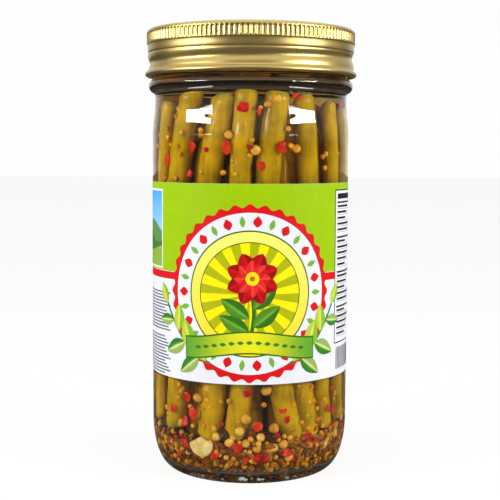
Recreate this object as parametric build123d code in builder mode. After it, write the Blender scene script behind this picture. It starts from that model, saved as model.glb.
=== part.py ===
"""A filled wide-mouth pickle jar: glass jar, screw cap, paper wrap label and contents.

Millimetres, +Z up. The origin is the centre of the jar's base, on the plane that
it stands on, and the middle of the label faces -Y.
"""

import os

from build123d import *

# Glass jar, outside
BODY_RADIUS = 40.8
BEARING_RADIUS = 31.3
BEARING_WIDTH = 2.4
HEEL_HEIGHT = 22.0
HEEL_TUCK = 5.5
HEEL_RISE = 8.5
SHOULDER_HEIGHT = 138.0
SHOULDER_BEND = 7.6
NECK_RADIUS = 39.75
NECK_HEIGHT = 153.8
BEAD_RADIUS = 42.45
BEAD_HEIGHT = 159.2
BEAD_HALF = 2.9
FINISH_RADIUS = 40.3
RIM_EDGE = 0.8
JAR_HEIGHT = 181.7

# Glass jar, inside
WALL = 2.6
BORE_RADIUS = 37.6
FLOOR_THICKNESS = 4.4
FLOOR_CROWN = 1.0
PUSH_UP_HEIGHT = 2.0
INNER_HEEL_RADIUS = 11.0

# Screw thread on the jar's finish
THREAD_PITCH = 4.9
THREAD_START = 168.3
THREAD_TURNS = 1.25
THREAD_DEPTH = 0.6
THREAD_WIDTH = 1.8

# Contents
HEADSPACE = 8.0
CONTENTS_GAP = 0.03

# Paper label, glued round the body with a gap at the back
LABEL_LOW = 41.85
LABEL_HIGH = 120.05
LABEL_THICKNESS = 0.15
LABEL_GLUE = 0.03
LABEL_GAP_DEGREES = 16.0

# Metal screw cap
CAP_HEIGHT = 182.2
CAP_SHEET = 0.5
CAP_CORNER = 1.6
KNURL_RADIUS = 43.1
KNURL_LOW = 176.2
KNURL_HIGH = 180.7
KNURL_COUNT = 136
KNURL_DEPTH = 0.25
KNURL_SLOT_RADIUS = 0.75
BAND_RADIUS = 42.75
CREASE_RADIUS = 42.45
CREASE_HEIGHT = 172.7
GROOVE_RADIUS = 41.95
GROOVE_HEIGHT = 169.2
CURL_RADIUS = 1.15
CURL_CENTRE_RADIUS = 42.7
CURL_HEIGHT = 164.1
PANEL_RADIUS = 36.0
PANEL_DROP = 0.5

os.makedirs("parts", exist_ok=True)

inner_radius = BODY_RADIUS - WALL
neck_inner_radius = NECK_RADIUS - WALL
inner_heel_height = FLOOR_THICKNESS + INNER_HEEL_RADIUS
bead_low = BEAD_HEIGHT - BEAD_HALF
bead_high = BEAD_HEIGHT + BEAD_HALF


def write_piece(builder, name):
    """Write a labelled sub-part to its own STEP file and print its volume."""
    export_step(builder.part, f"parts/{name}.step")
    print(name, round(builder.part.volume / 1000, 2), "ml")


def inner_wall(gap, top):
    """The jar's inner wall from the height top down to the axis, moved in by gap.

    A straight bore, a soft shoulder, a straight body, a quarter round and a low
    crown in the middle of the floor.
    """
    floor = FLOOR_THICKNESS + gap
    radius = inner_radius - gap
    neck = neck_inner_radius - gap
    bore = BORE_RADIUS - gap
    Line((bore, top), (bore, bead_high))
    Spline(
        (bore, bead_high),
        (neck, NECK_HEIGHT),
        (radius, SHOULDER_HEIGHT),
        tangents=[(0, -1), (0, -1)],
    )
    Line((radius, SHOULDER_HEIGHT), (radius, inner_heel_height))
    heel_edge = (inner_radius - INNER_HEEL_RADIUS, floor)
    JernArc(
        start=(radius, inner_heel_height),
        tangent=(0, -1),
        radius=INNER_HEEL_RADIUS - gap,
        arc_size=-90,
    )
    Spline(
        heel_edge,
        (0, floor + FLOOR_CROWN),
        tangents=[(-1, 0), (-1, 0)],
    )


# --- Glass jar -----------------------------------------------------------
# One revolved shell: a narrow bearing ring round a push-up, a large heel, a
# straight body, a soft shoulder, a neck, a rounded transfer bead, and a
# straight finish with a flat rim. A thread is wound round the finish.
bearing_inner = BEARING_RADIUS - BEARING_WIDTH

with BuildPart() as glass_jar:
    with BuildSketch(Plane.XZ):
        with BuildLine():
            Spline(
                (0, PUSH_UP_HEIGHT),
                (bearing_inner, 0),
                tangents=[(1, 0), (1, -0.4)],
            )
            Line((bearing_inner, 0), (BEARING_RADIUS, 0))
            Bezier(
                (BEARING_RADIUS, 0),
                (BEARING_RADIUS + HEEL_TUCK, 0),
                (BODY_RADIUS, HEEL_RISE),
                (BODY_RADIUS, HEEL_HEIGHT),
            )
            Line((BODY_RADIUS, HEEL_HEIGHT), (BODY_RADIUS, SHOULDER_HEIGHT))
            Bezier(
                (BODY_RADIUS, SHOULDER_HEIGHT),
                (BODY_RADIUS, SHOULDER_HEIGHT + SHOULDER_BEND),
                (NECK_RADIUS, NECK_HEIGHT - SHOULDER_BEND),
                (NECK_RADIUS, NECK_HEIGHT),
            )
            Line((NECK_RADIUS, NECK_HEIGHT), (NECK_RADIUS, bead_low))
            ThreePointArc(
                (NECK_RADIUS, bead_low),
                (BEAD_RADIUS, BEAD_HEIGHT),
                (NECK_RADIUS, bead_high),
            )
            Line((NECK_RADIUS, bead_high), (FINISH_RADIUS, bead_high + 1))
            Line((FINISH_RADIUS, bead_high + 1), (FINISH_RADIUS, JAR_HEIGHT - RIM_EDGE))
            Line((FINISH_RADIUS, JAR_HEIGHT - RIM_EDGE), (FINISH_RADIUS - RIM_EDGE, JAR_HEIGHT))
            Line((FINISH_RADIUS - RIM_EDGE, JAR_HEIGHT), (BORE_RADIUS, JAR_HEIGHT))
            inner_wall(0, JAR_HEIGHT)
            Line((0, FLOOR_THICKNESS + FLOOR_CROWN), (0, PUSH_UP_HEIGHT))
        make_face()
    revolve(axis=Axis.Z)
    with BuildLine():
        thread_path = Helix(
            pitch=THREAD_PITCH,
            height=THREAD_PITCH * THREAD_TURNS,
            radius=FINISH_RADIUS,
            center=(0, 0, THREAD_START),
        )
    with BuildSketch(Plane(thread_path @ 0, x_dir=(1, 0, 0), z_dir=thread_path % 0)):
        Ellipse(THREAD_DEPTH, THREAD_WIDTH / 2)
    sweep(path=thread_path, is_frenet=True)
glass_jar.part.label = "glass_jar"
write_piece(glass_jar, "glass_jar")

# --- Contents ------------------------------------------------------------
# Brine with everything sunk in it fills the jar up to the headspace.
with BuildPart() as brine:
    with BuildSketch(Plane.XZ):
        with BuildLine():
            brine_top = JAR_HEIGHT - HEADSPACE
            Line((0, brine_top), (BORE_RADIUS - CONTENTS_GAP, brine_top))
            inner_wall(CONTENTS_GAP, brine_top)
            Line((0, FLOOR_THICKNESS + CONTENTS_GAP + FLOOR_CROWN), (0, brine_top))
        make_face()
    revolve(axis=Axis.Z)
brine.part.label = "brine"
write_piece(brine, "brine")

# --- Paper label ---------------------------------------------------------
with BuildPart() as label:
    with BuildSketch(Plane.XY.offset(LABEL_LOW)):
        Circle(BODY_RADIUS + LABEL_GLUE + LABEL_THICKNESS)
        Circle(BODY_RADIUS + LABEL_GLUE, mode=Mode.SUBTRACT)
        with BuildLine():
            reach = 2 * BODY_RADIUS
            left_edge = Line((0, 0), (reach, 0)).rotate(Axis.Z, 90 - LABEL_GAP_DEGREES / 2)
            right_edge = Line((0, 0), (reach, 0)).rotate(Axis.Z, 90 + LABEL_GAP_DEGREES / 2)
        gap_wedge = make_hull([left_edge.edge(), right_edge.edge()], mode=Mode.SUBTRACT)
    extrude(amount=LABEL_HIGH - LABEL_LOW)
label.part.label = "label"
write_piece(label, "label")

# --- Screw cap -----------------------------------------------------------
# One sheet of metal: a dropped panel, a rounded corner, a knurled grip, a smooth
# band, a rolled thread groove and a rolled curl at the bottom edge.


def cap_sheet(inset):
    """One face of the cap's sheet from the axis to the curl, moved in by inset."""
    top = CAP_HEIGHT - inset
    corner = CAP_CORNER - inset
    knurl = KNURL_RADIUS - inset
    band_top = KNURL_LOW - 0.4
    flare_height = CURL_HEIGHT + 1.9
    Line((0, top - PANEL_DROP), (PANEL_RADIUS - 1, top - PANEL_DROP))
    Line((PANEL_RADIUS - 1, top - PANEL_DROP), (PANEL_RADIUS, top))
    Line((PANEL_RADIUS, top), (knurl - corner, top))
    JernArc(start=(knurl - corner, top), tangent=(1, 0), radius=corner, arc_size=-90)
    Line((knurl, top - corner), (knurl, KNURL_LOW))
    Line((knurl, KNURL_LOW), (BAND_RADIUS - inset, band_top))
    Line((BAND_RADIUS - inset, band_top), (CREASE_RADIUS - inset, CREASE_HEIGHT))
    Spline(
        (CREASE_RADIUS - inset, CREASE_HEIGHT),
        (GROOVE_RADIUS - inset, GROOVE_HEIGHT),
        (CURL_CENTRE_RADIUS - inset, flare_height),
        (CURL_CENTRE_RADIUS - inset, CURL_HEIGHT),
        tangents=[(0, -1), (0, -1)],
    )


with BuildPart() as lid:
    with BuildSketch(Plane.XZ):
        with BuildLine():
            cap_sheet(0)
            Line((CURL_CENTRE_RADIUS, CURL_HEIGHT), (CURL_CENTRE_RADIUS - CAP_SHEET, CURL_HEIGHT))
            cap_sheet(CAP_SHEET)
            Line((0, CAP_HEIGHT - CAP_SHEET - PANEL_DROP), (0, CAP_HEIGHT - PANEL_DROP))
        make_face()
        with Locations((CURL_CENTRE_RADIUS, CURL_HEIGHT)):
            Circle(CURL_RADIUS)
    revolve(axis=Axis.Z)
    slot_centre = KNURL_RADIUS + KNURL_SLOT_RADIUS - KNURL_DEPTH
    with BuildSketch(Plane.XY.offset(KNURL_LOW + 0.2)):
        with PolarLocations(slot_centre, KNURL_COUNT):
            Circle(KNURL_SLOT_RADIUS)
    extrude(amount=KNURL_HIGH - KNURL_LOW - 0.2, mode=Mode.SUBTRACT)
lid.part.label = "lid"
write_piece(lid, "lid")
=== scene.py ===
"""Pickle jar: a tall glass jar of pickled green beans, with a gold screw cap and a paper label.

Shapes are worked out in millimetres and written to their meshes in metres. The jar
stands on z = 0 with its axis on Z, and the middle of its label faces -Y. Angles
round the jar start at the middle of the label and grow towards +X.
"""

import math

import bpy
import numpy as np
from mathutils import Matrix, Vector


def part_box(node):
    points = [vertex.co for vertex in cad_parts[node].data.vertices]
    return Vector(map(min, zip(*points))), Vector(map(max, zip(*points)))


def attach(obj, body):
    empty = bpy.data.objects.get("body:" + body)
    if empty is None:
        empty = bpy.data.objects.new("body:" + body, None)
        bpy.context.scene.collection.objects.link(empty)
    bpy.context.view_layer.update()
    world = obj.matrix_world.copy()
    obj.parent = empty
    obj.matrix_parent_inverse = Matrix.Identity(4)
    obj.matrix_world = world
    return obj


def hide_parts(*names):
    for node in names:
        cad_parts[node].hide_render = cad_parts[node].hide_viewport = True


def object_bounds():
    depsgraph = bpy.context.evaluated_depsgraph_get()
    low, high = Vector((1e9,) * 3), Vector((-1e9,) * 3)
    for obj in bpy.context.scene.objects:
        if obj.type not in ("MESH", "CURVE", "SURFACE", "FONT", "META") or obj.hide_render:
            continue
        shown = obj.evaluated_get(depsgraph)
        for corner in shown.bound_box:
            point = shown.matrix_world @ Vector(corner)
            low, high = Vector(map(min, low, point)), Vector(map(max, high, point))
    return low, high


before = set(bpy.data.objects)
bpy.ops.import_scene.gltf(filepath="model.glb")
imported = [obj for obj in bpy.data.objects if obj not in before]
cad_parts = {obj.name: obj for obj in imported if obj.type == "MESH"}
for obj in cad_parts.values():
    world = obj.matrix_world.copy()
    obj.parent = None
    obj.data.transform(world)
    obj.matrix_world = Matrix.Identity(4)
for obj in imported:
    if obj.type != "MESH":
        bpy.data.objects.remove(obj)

bl_info = {
    "name": "Pickle jar",
    "version": (1, 0, 0),
    "blender": (4, 5, 0),
    "location": "View3D > Sidebar > Pickle jar",
    "description": "Builds a glass jar of pickled beans around its packed solids",
    "category": "Object",
}

TAU = 2 * math.pi
MM = 0.001
BODY = "root"

CAD_LOW, CAD_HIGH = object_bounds()
GLASS_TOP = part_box("glass_jar")[1].z / MM
LABEL_LOW, LABEL_HIGH = (corner.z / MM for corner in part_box("label"))
LABEL_SPAN = LABEL_HIGH - LABEL_LOW
BRINE_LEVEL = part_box("brine")[1].z / MM


# --- Colours ---------------------------------------------------------------


def linear(code):
    """Linear RGB of an sRGB hex code such as '#C8AF64'."""
    srgb = np.array([int(code[i : i + 2], 16) for i in (1, 3, 5)]) / 255
    low = srgb / 12.92
    high = ((srgb + 0.055) / 1.055) ** 2.4
    return tuple(float(c) for c in np.where(srgb <= 0.04045, low, high))


def colour_property(name, code):
    """A colour that the user can change, shown as a swatch."""
    return bpy.props.FloatVectorProperty(
        name=name, description=f"Colour of the {name.lower()}", default=linear(code),
        subtype="COLOR", size=3, min=0, max=1,
    )


def length_property(name, description, millimetres):
    """A length in metres that the user can change."""
    return bpy.props.FloatProperty(
        name=name, description=description, default=millimetres * MM,
        min=0, unit="LENGTH", precision=5,
    )


def count_property(name, description, number):
    """A number of like things that the user can change."""
    return bpy.props.IntProperty(name=name, description=description, default=number, min=0)


class JarSizes(bpy.types.PropertyGroup):
    """Sizes of the glass, the cap and the label."""

    wall: length_property("Wall", "Thickness of the glass wall", 2.6)
    floor: length_property("Floor", "Thickness of the glass under the contents", 4.4)
    heel: length_property("Heel", "Height at which the heel meets the straight body", 22)
    bead: length_property("Bead height", "Height of the middle of the bead under the cap", 159.2)
    knurl_depth: length_property("Knurl depth", "Depth of the slots in the cap's grip", 0.3)
    knurls: count_property("Knurls", "Slots round the cap's grip", 136)
    thread_pitch: length_property("Thread pitch", "Rise of the cap's rolled thread in a turn", 4.9)


class ContentsSizes(bpy.types.PropertyGroup):
    """Sizes and numbers of what is in the jar."""

    pod_radius: length_property("Pod radius", "Half the width of a middling bean pod", 4.35)
    bed_depth: length_property("Spice depth", "Height of the top of the spices in the jar", 18.5)
    mustard: length_property("Mustard seed", "Width of a mustard seed", 2.2)
    coriander: length_property("Coriander seed", "Width of a coriander seed", 3.7)
    peppercorn: length_property("Peppercorn", "Width of a peppercorn", 4.6)
    mustard_count: count_property("Mustard seeds", "Mustard seeds in the spice bed", 850)
    coriander_count: count_property("Coriander seeds", "Coriander seeds in the spice bed", 90)
    flake_count: count_property("Pepper flakes", "Red pepper flakes in the spice bed", 170)
    dill_count: count_property("Dill seeds", "Dill seeds in the spice bed", 500)


class Colours(bpy.types.PropertyGroup):
    """Colours of the main finishes."""

    gold: colour_property("Gold lacquer", "#C4AB66")
    pod: colour_property("Bean pods", "#BA9000")
    pod_dark: colour_property("Darker pod skin", "#947200")
    mustard: colour_property("Mustard seeds", "#DDA23C")
    flake: colour_property("Pepper flakes", "#B5140A")
    lime: colour_property("Lime print", "#94BA02")
    red: colour_property("Red print", "#CD1219")
    paper: colour_property("Label paper", "#DCDEE3")


# --- Meshes ----------------------------------------------------------------


def grid_faces(rows, columns, wrap):
    """Quads between neighbouring points of a grid; wrap joins its last column to its first."""
    index = np.arange(rows * columns).reshape(rows, columns)
    if wrap:
        index = np.hstack([index, index[:, :1]])
    corners = [index[:-1, :-1], index[:-1, 1:], index[1:, 1:], index[1:, :-1]]
    return np.stack([c.ravel() for c in corners], -1)


def closed_tube(rings):
    """A closed skin over rings (n, m, 3): each joins the next, and the end rings close on their middles."""
    rows, columns = rings.shape[:2]
    points = np.vstack([rings.reshape(-1, 3), rings[0].mean(0), rings[-1].mean(0)])
    quads = grid_faces(rows, columns, True)
    first = np.arange(columns)
    following = np.roll(first, -1)
    last = first + (rows - 1) * columns
    last_following = following + (rows - 1) * columns
    pole = np.full(columns, rows * columns)
    tris = np.vstack([
        np.stack([following, first, pole], -1),
        np.stack([last, last_following, pole + 1], -1),
    ])
    return outward(points, quads, tris)


def outward(points, quads, tris):
    """Turns a closed skin's faces over if the volume that they enclose comes out negative."""
    a, b, c, d = (points[quads[:, i]] for i in range(4))
    volume = np.einsum("ij,ij->", a, np.cross(b, c)) + np.einsum("ij,ij->", a, np.cross(c, d))
    a, b, c = (points[tris[:, i]] for i in range(3))
    volume += np.einsum("ij,ij->", a, np.cross(b, c))
    if volume < 0:
        return points, quads[:, ::-1], tris[:, ::-1]
    return points, quads, tris


def joined(shapes):
    """One (points, quads, tris) from many."""
    offsets = np.cumsum([0] + [len(s[0]) for s in shapes[:-1]])
    points = np.vstack([s[0] for s in shapes])
    quads = np.vstack([s[1] + o for s, o in zip(shapes, offsets)])
    tris = np.vstack([s[2].reshape(-1, 3) + o for s, o in zip(shapes, offsets)])
    return points, quads, tris.astype(int)


def write_mesh(name, shape, material, attributes=None, smooth=True):
    """Writes a shape in millimetres to a new object at the origin, which rides on the jar."""
    points, quads, tris = shape
    corners = np.concatenate([quads.ravel(), tris.ravel()]).astype(np.int32)
    sizes = np.concatenate([np.full(len(quads), 4), np.full(len(tris), 3)])
    starts = np.concatenate([[0], np.cumsum(sizes)[:-1]]).astype(np.int32)
    mesh = bpy.data.meshes.new(name)
    mesh.vertices.add(len(points))
    mesh.vertices.foreach_set("co", (points * MM).astype(np.float32).ravel())
    mesh.loops.add(len(corners))
    mesh.loops.foreach_set("vertex_index", corners)
    mesh.polygons.add(len(sizes))
    mesh.polygons.foreach_set("loop_start", starts)
    mesh.polygons.foreach_set("use_smooth", np.full(len(sizes), smooth))
    for key, values in (attributes or {}).items():
        values = np.asarray(values, np.float32)
        if values.ndim == 1:
            mesh.attributes.new(key, "FLOAT", "POINT").data.foreach_set("value", values)
        else:
            rgba = np.hstack([values, np.ones((len(values), 1), np.float32)])
            mesh.attributes.new(key, "FLOAT_COLOR", "POINT").data.foreach_set("color", rgba.ravel())
    mesh.update(calc_edges=True)
    if mesh.validate():
        raise RuntimeError(f"{name} has faulty faces")
    mesh.materials.append(material)
    piece = bpy.data.objects.new(name, mesh)
    bpy.context.scene.collection.objects.link(piece)
    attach(piece, BODY)
    return piece


def revolved(outline, segments):
    """Turns an outline of (radius, height) points round Z: x = r sin a, y = -r cos a."""
    angle = np.linspace(0, TAU, segments, endpoint=False)
    radius = outline[:, :1]
    height = np.broadcast_to(outline[:, 1:], (len(outline), segments))
    return closed_tube(np.stack([radius * np.sin(angle), -radius * np.cos(angle), height], -1))


def round_jar(angle, radius, height):
    """Points at angles, distances from the jar's axis, and heights."""
    angle, radius, height = np.broadcast_arrays(angle, radius, height)
    return np.stack([radius * np.sin(angle), -radius * np.cos(angle), height], -1)


def line(start, end, steps):
    """Points on a straight run, without its end."""
    t = np.linspace(0, 1, steps, endpoint=False)[:, None]
    return np.array(start) * (1 - t) + np.array(end) * t


def bezier(p0, p1, p2, p3, steps):
    """Points on a cubic Bezier curve, without its end."""
    t = np.linspace(0, 1, steps, endpoint=False)[:, None]
    p0, p1, p2, p3 = (np.array(p, float) for p in (p0, p1, p2, p3))
    return (1 - t) ** 3 * p0 + 3 * (1 - t) ** 2 * t * p1 + 3 * (1 - t) * t**2 * p2 + t**3 * p3


def arc(centre, radius, start, end, steps):
    """Points on a circular arc, its angles in degrees from the outward direction, without its end."""
    a = np.radians(np.linspace(start, end, steps, endpoint=False))
    return np.array(centre) + radius * np.stack([np.cos(a), np.sin(a)], -1)


def smoothstep(low, high, x):
    """Eases from 0 at low to 1 at high."""
    t = np.clip((x - low) / (high - low), 0, 1)
    return t * t * (3 - 2 * t)


# --- Material nodes --------------------------------------------------------


def add(tree, kind, settings=None, links=None):
    """Adds a node, sets its properties and inputs, and links its inputs to other nodes' outputs.

    A setting whose name is an input's sets that input's value, and any other sets
    the node's own property. A link is input: (node, output).
    """
    node = tree.nodes.new(kind)
    for key, value in (settings or {}).items():
        if isinstance(key, str) and hasattr(node, key):
            setattr(node, key, value)
    for key, value in (settings or {}).items():
        if not (isinstance(key, str) and hasattr(node, key)):
            node.inputs[key].default_value = value
    for key, (source, output) in (links or {}).items():
        tree.links.new(source.outputs[output], node.inputs[key])
    return node


def ramp(tree, stops, source):
    """A colour ramp over (position, linear colour) stops, driven by a (node, output)."""
    node = add(tree, "ShaderNodeValToRGB", links={"Fac": source})
    elements = node.color_ramp.elements
    while len(elements) < len(stops):
        elements.new(0.5)
    for element, (position, colour) in zip(elements, stops):
        element.position = position
        element.color = (*colour, 1)
    return node


def new_material(name):
    """An empty material and its node tree with an output."""
    material = bpy.data.materials.new(name)
    material.use_nodes = True
    material.node_tree.nodes.clear()
    output = add(material.node_tree, "ShaderNodeOutputMaterial")
    return material, material.node_tree, output


def rgba(colour):
    """A shader socket's colour."""
    return (*tuple(colour), 1)


def clear_shader(tree, output, shader):
    """Lets lamps and soft light pass straight through a clear shader, so that the contents are lit."""
    path = add(tree, "ShaderNodeLightPath")
    either = add(
        tree, "ShaderNodeMath", {"operation": "MAXIMUM"},
        {0: (path, "Is Shadow Ray"), 1: (path, "Is Diffuse Ray")},
    )
    straight = add(tree, "ShaderNodeBsdfTransparent")
    mix = add(
        tree, "ShaderNodeMixShader",
        links={0: (either, 0), 1: (shader, 0), 2: (straight, 0)},
    )
    tree.links.new(mix.outputs[0], output.inputs["Surface"])


# --- Outlines of the glass, in millimetres ---------------------------------

BODY_R = 40.8
NECK_R = 39.75
NECK_Z = 153.8
SHOULDER_Z = 138.0
BEAD_OUT = 2.7
BEAD_HALF = 2.9
FINISH_R = 40.3
BORE_R = 37.6
BEARING_R = 31.3
BEARING_INNER_R = 28.9
PUSH_UP = 2.0
FLOOR_CROWN = 1.0
INNER_HEEL = 11.0
HEEL_TUCK = 5.5
HEEL_RISE = 8.5
SHOULDER_BEND = 7.6
RIM_ROUND = 0.8
AXIS_GAP = 0.4
INTO_GLASS = 0.05
SEGMENTS = 224


def inner_outline(sizes, gap):
    """The jar's inner wall from the bore's top to the axis, moved in by gap.

    A straight bore, an eased shoulder, a straight body whose thickness drifts a
    little as moulded glass does, a quarter round, and a low parabolic crown.
    """
    wall = sizes.wall / MM
    floor = sizes.floor / MM + gap
    body = BODY_R - wall - gap
    neck = NECK_R - wall - gap
    bore = BORE_R - gap
    bead_top = sizes.bead / MM + BEAD_HALF
    heights = np.linspace(NECK_Z, SHOULDER_Z, 16, endpoint=False)
    shoulder = neck + (body - neck) * smoothstep(NECK_Z, SHOULDER_Z, heights)
    rise = np.linspace(bead_top, NECK_Z, 12, endpoint=False)
    throat = bore + (neck - bore) * smoothstep(bead_top, NECK_Z, rise)
    straight = line((body, SHOULDER_Z), (body, floor + INNER_HEEL), 40)
    straight[:, 0] += 0.09 * np.sin(straight[:, 1] * 0.19) + 0.05 * np.sin(straight[:, 1] * 0.43)
    radius = np.linspace(body - INNER_HEEL, AXIS_GAP, 14)
    crown = floor + FLOOR_CROWN * (1 - (radius / (body - INNER_HEEL)) ** 2)
    return np.vstack([
        line((bore, GLASS_TOP), (bore, bead_top), 4),
        np.stack([throat, rise], -1),
        np.stack([shoulder, heights], -1),
        straight,
        arc((body - INNER_HEEL, floor + INNER_HEEL), INNER_HEEL, 0, -90, 18),
        np.stack([radius, crown], -1),
    ])


def outer_outline(sizes):
    """The jar's outside from the middle of the push-up to the rim.

    A push-up in fine rings, a rounded bearing ring, the heel's Bezier curve, a
    straight body, the shoulder's Bezier curve, a round bead and the finish.
    """
    heel = sizes.heel / MM
    bead = sizes.bead / MM
    radius = np.linspace(AXIS_GAP, BEARING_INNER_R, 50)
    push_up = PUSH_UP * (1 - (radius / BEARING_INNER_R) ** 4)
    push_up += 0.2 * (1 - np.cos(radius * 2.0)) * (radius < BEARING_INNER_R - 2)
    edge = math.degrees(math.atan2(BEAD_HALF, BEAD_OUT)) + 24
    body_top = (BODY_R, SHOULDER_Z)
    neck = (NECK_R, NECK_Z)
    finish = bead + BEAD_HALF + 1.5
    round_z = GLASS_TOP - RIM_ROUND
    return np.vstack([
        np.stack([radius, push_up], -1),
        line((BEARING_INNER_R + 0.3, 0), (BEARING_R, 0), 4),
        bezier((BEARING_R, 0), (BEARING_R + HEEL_TUCK, 0), (BODY_R, HEEL_RISE), (BODY_R, heel), 40),
        line((BODY_R, heel), body_top, 8),
        bezier(body_top, (BODY_R, SHOULDER_Z + SHOULDER_BEND), (NECK_R, NECK_Z - SHOULDER_BEND), neck, 24),
        bezier(neck, (NECK_R, bead - 4), (NECK_R - 0.1, bead - 3.4), (NECK_R + 0.7, bead - 2.8), 8),
        arc((NECK_R - 0.2, bead), BEAD_HALF, -edge, edge, 28)[2:-2],
        line((NECK_R + 0.2, finish - 1), (FINISH_R, finish), 4),
        line((FINISH_R, finish), (FINISH_R, round_z), 6),
        arc((FINISH_R - RIM_ROUND, round_z), RIM_ROUND, 0, 90, 6),
    ])


# --- Cap -------------------------------------------------------------------

CAP_R = 43.1
CAP_TOP = 182.2
CAP_CORNER = 1.6
PANEL_R = 36.0
PANEL_FLAT_R = 33.0
PANEL_DROP = 0.5
KNURL_LOW_Z = 176.2
KNURL_HIGH_Z = 180.9
BAND_R = 42.78
CREASE_Z = 172.7
GROOVE_DEPTH = 0.85
GROOVE_Z = 169.2
GROOVE_WIDTH = 1.75
GROOVE_LOW_FADE = (165.6, 166.9)
GROOVE_HIGH_FADE = (171.3, 172.4)
SKIRT_FADE = (165.3, 166.2)
SKIRT_FOOT_Z = 165.9
SKIRT_INSIDE = 0.95
CURL_R = 1.15
CURL_CENTRE = (42.7, 164.1)

# Where the mesh has points across one slot and its ridge, as shares of both: closer at the slot's sides.
KNURL_POINTS = (0.0, 0.12, 0.24, 0.5, 0.76, 0.88)


def cap_outline():
    """The cap's outline from the middle of its panel, down the skirt, round the curl and up inside."""
    inside = BAND_R - SKIRT_INSIDE
    skirt = BAND_R - 0.1
    panel_z = CAP_TOP - PANEL_DROP
    knurl_foot = (CAP_R, KNURL_LOW_Z + 0.25)
    band_top = (BAND_R, KNURL_LOW_Z - 0.45)
    crease_top = (BAND_R - 0.06, CREASE_Z + 0.5)
    crease = (BAND_R - 0.32, CREASE_Z - 0.2)
    return np.vstack([
        line((0.5, CAP_TOP - 0.25), (9, CAP_TOP - 0.3), 2),
        bezier((9, CAP_TOP - 0.3), (20, CAP_TOP - 0.35), (28, panel_z), (PANEL_FLAT_R, panel_z), 6),
        bezier((PANEL_FLAT_R, panel_z), (34.6, panel_z), (34.4, CAP_TOP), (PANEL_R, CAP_TOP), 5),
        line((PANEL_R, CAP_TOP), (CAP_R - CAP_CORNER, CAP_TOP), 2),
        arc((CAP_R - CAP_CORNER, CAP_TOP - CAP_CORNER), CAP_CORNER, 90, 0, 6),
        line((CAP_R, CAP_TOP - CAP_CORNER), knurl_foot, 11),
        bezier(knurl_foot, (CAP_R, KNURL_LOW_Z - 0.15), (BAND_R + 0.02, KNURL_LOW_Z), band_top, 4),
        line(band_top, crease_top, 3),
        bezier(crease_top, (skirt, CREASE_Z + 0.1), (BAND_R - 0.3, CREASE_Z + 0.05), crease, 4),
        line(crease, (skirt, CREASE_Z - 0.9), 2),
        line((skirt, CREASE_Z - 0.9), (skirt, SKIRT_FOOT_Z), 16),
        arc(CURL_CENTRE, CURL_R, 88, -180, 14),
        line((inside, SKIRT_FOOT_Z - 0.4), (inside, CAP_TOP - 4.2), 2),
        line((inside, CAP_TOP - 4.2), (inside, CAP_TOP - 0.8), 1),
        line((inside - 2, CAP_TOP - 0.7), (PANEL_R, CAP_TOP - 0.7), 2),
        line((PANEL_R - 1.5, CAP_TOP - 1.1), (0.5, CAP_TOP - 1.0), 2),
    ])


def thread_groove(angle, height, pitch):
    """Depth of the rolled thread: a rounded helical valley that fades out at both ends.

    The valley's middle climbs by the pitch in a turn, and is a Gaussian across.
    """
    depth = np.zeros(np.broadcast(angle, height).shape)
    for turn in (-1, 0, 1):
        middle = GROOVE_Z + pitch * (angle / TAU + turn)
        ends = smoothstep(*GROOVE_LOW_FADE, middle) * (1 - smoothstep(*GROOVE_HIGH_FADE, middle))
        depth += ends * np.exp(-(((height - middle) / GROOVE_WIDTH) ** 2))
    return GROOVE_DEPTH * depth


def knurl_depth(angle, height, count):
    """Depth of the grip's slots, 0 to 1: rounded-end slots with steep sides, side by side."""
    across = (np.mod(angle * count / TAU, 1) - 0.5) / 0.37
    half = (KNURL_HIGH_Z - KNURL_LOW_Z) / 2 - 0.3
    along = (height - (KNURL_HIGH_Z + KNURL_LOW_Z) / 2 - 0.05) / half
    return 1 - smoothstep(0.5, 1.15, np.abs(across) ** 3 + np.abs(along) ** 6)


def cap_shape(sizes):
    """The cap's outline turned round the axis, less its knurl slots and its thread groove."""
    outline = cap_outline()
    place = np.arange(sizes.knurls)[:, None] + np.array(KNURL_POINTS)
    angle = (place * TAU / sizes.knurls - math.pi).reshape(1, -1)
    radius = outline[:, :1] * np.ones_like(angle)
    height = outline[:, 1:] * np.ones_like(angle)
    row = np.arange(len(outline))[:, None]
    outside = row < np.argmin(outline[:, 1])
    grip = outside & (outline[:, :1] > CAP_R - 0.5)
    radius -= grip * knurl_depth(angle, height, sizes.knurls) * sizes.knurl_depth / MM
    skirt = outside & (outline[:, 1:] < CREASE_Z - 0.1) & (outline[:, 1:] > SKIRT_FADE[0])
    settle = smoothstep(*SKIRT_FADE, height) * (1 - smoothstep(CREASE_Z - 0.9, CREASE_Z, height))
    radius -= skirt * settle * thread_groove(angle, height, sizes.thread_pitch / MM)
    return closed_tube(round_jar(angle, radius, height))


# --- Label -----------------------------------------------------------------

PAPER_INNER_R = 40.83
PAPER_R = 40.89
PRINT_R = 40.9
LABEL_HALF = 122.0

# Each layer of ink lies this far outside the one before, and its flat cells are
# small enough that they don't cut through the layer under them.
INK = 0.012
PRINT_CELL = 1.1

# Places in the print, as distances along the label from its middle and up from its
# lower edge. A panel is its left, right, lower and upper edge.
FIELD_LOW = 42.9
BAND_EDGES = (39.7, 42.7)
BADGE_CENTRE = (0.0, 35.5)
BADGE_R = 34.2
DISC_R = 20.2
SUN_RAYS = 16
DIAMONDS = 30
BANNER_HALF = 27
BANNER_LOW = 10.6
BANNER_HEIGHT = 9.0
BARS_PANEL = (40.3, 76.0, 13.2, 75.6)
VIEW_PANEL = (-86.0, -42.2, 43.5, 75.5)
SMALL_BAR_HEIGHT = 0.62


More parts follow.
